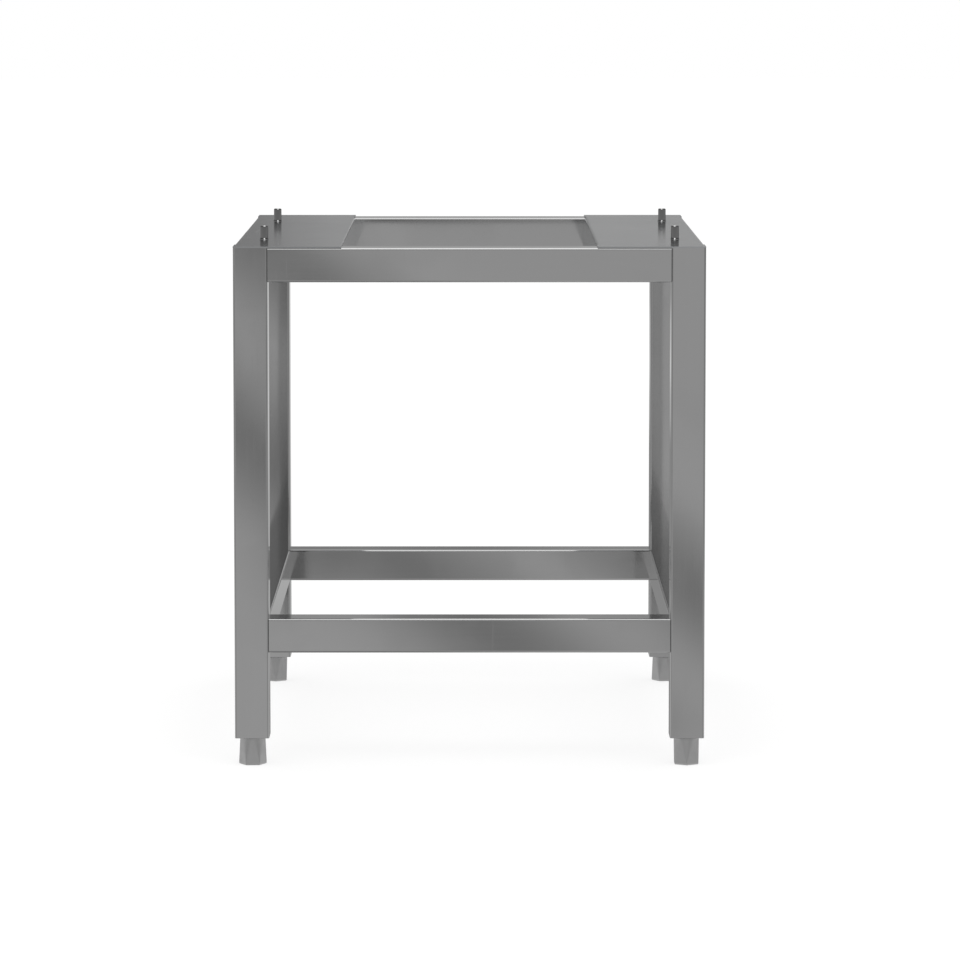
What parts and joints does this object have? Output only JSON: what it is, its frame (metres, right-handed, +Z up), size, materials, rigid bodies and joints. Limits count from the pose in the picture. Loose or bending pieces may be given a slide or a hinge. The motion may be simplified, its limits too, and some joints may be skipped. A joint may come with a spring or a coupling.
{
  "type": "oven stand",
  "caption": "Floor stand for a countertop oven: welded square-tube frame with low and high rails, two flat side shelves with upright locating pins, and screw-adjusted feet.",
  "frame": {"origin": "on the floor under the middle of the frame, feet screwed right in", "axes": "+X to the right seen from the front, +Y towards the back, +Z up"},
  "size_m": [0.685, 0.85, 0.78],
  "materials": {
    "tube_steel": "polished stainless square tube, fine grain along its length",
    "sheet_steel": "polished stainless sheet, fine grain along its length",
    "turned_steel": "bright turned stainless",
    "foot_steel": "satin stainless, turned and milled",
    "threaded_steel": "threaded stainless"
  },
  "bodies": {
    "frame": {"leg_front_left": "tube_steel", "leg_front_right": "tube_steel", "leg_back_left": "tube_steel", "leg_back_right": "tube_steel", "front_top_rail": "tube_steel", "back_top_rail": "tube_steel", "front_bottom_rail": "tube_steel", "back_bottom_rail": "tube_steel", "left_bottom_rail": "tube_steel", "right_bottom_rail": "tube_steel", "left_side_shelf": "sheet_steel", "right_side_shelf": "sheet_steel", "locating_pin_front_left": "turned_steel", "locating_pin_front_right": "turned_steel", "locating_pin_back_left": "turned_steel", "locating_pin_back_right": "turned_steel", "leg_plug_front_left": "threaded_steel", "leg_plug_front_right": "threaded_steel", "leg_plug_back_left": "threaded_steel", "leg_plug_back_right": "threaded_steel"},
    "stem_front_left": {"foot_stem_front_left": "threaded_steel"},
    "foot_front_left": {"foot_front_left": "foot_steel"},
    "stem_front_right": {"foot_stem_front_right": "threaded_steel"},
    "foot_front_right": {"foot_front_right": "foot_steel"},
    "stem_back_left": {"foot_stem_back_left": "threaded_steel"},
    "foot_back_left": {"foot_back_left": "foot_steel"},
    "stem_back_right": {"foot_stem_back_right": "threaded_steel"},
    "foot_back_right": {"foot_back_right": "foot_steel"}
  },
  "joints": [
    {"name": "foot_travel_front_left", "type": "slide", "parent": "frame", "child": "stem_front_left", "axis": [0, 0, -1], "range_m": [0, 0.025]},
    {"name": "foot_turn_front_left", "type": "hinge", "parent": "stem_front_left", "child": "foot_front_left", "pos_m": [-0.3175, -0.4, 0.02], "axis": [0, 0, -1], "range_deg": [0, 6000]},
    {"name": "foot_travel_front_right", "type": "slide", "parent": "frame", "child": "stem_front_right", "axis": [0, 0, -1], "range_m": [0, 0.025]},
    {"name": "foot_turn_front_right", "type": "hinge", "parent": "stem_front_right", "child": "foot_front_right", "pos_m": [0.3175, -0.4, 0.02], "axis": [0, 0, -1], "range_deg": [0, 6000]},
    {"name": "foot_travel_back_left", "type": "slide", "parent": "frame", "child": "stem_back_left", "axis": [0, 0, -1], "range_m": [0, 0.025]},
    {"name": "foot_turn_back_left", "type": "hinge", "parent": "stem_back_left", "child": "foot_back_left", "pos_m": [-0.3175, 0.4, 0.02], "axis": [0, 0, -1], "range_deg": [0, 6000]},
    {"name": "foot_travel_back_right", "type": "slide", "parent": "frame", "child": "stem_back_right", "axis": [0, 0, -1], "range_m": [0, 0.025]},
    {"name": "foot_turn_back_right", "type": "hinge", "parent": "stem_back_right", "child": "foot_back_right", "pos_m": [0.3175, 0.4, 0.02], "axis": [0, 0, -1], "range_deg": [0, 6000]}
  ],
  "couplings": [
    {"joint": "foot_travel_front_left", "follows": "foot_turn_front_left", "m_per_rad": 0.00023873},
    {"joint": "foot_travel_front_right", "follows": "foot_turn_front_right", "m_per_rad": 0.00023873},
    {"joint": "foot_travel_back_left", "follows": "foot_turn_back_left", "m_per_rad": 0.00023873},
    {"joint": "foot_travel_back_right", "follows": "foot_turn_back_right", "m_per_rad": 0.00023873}
  ]
}
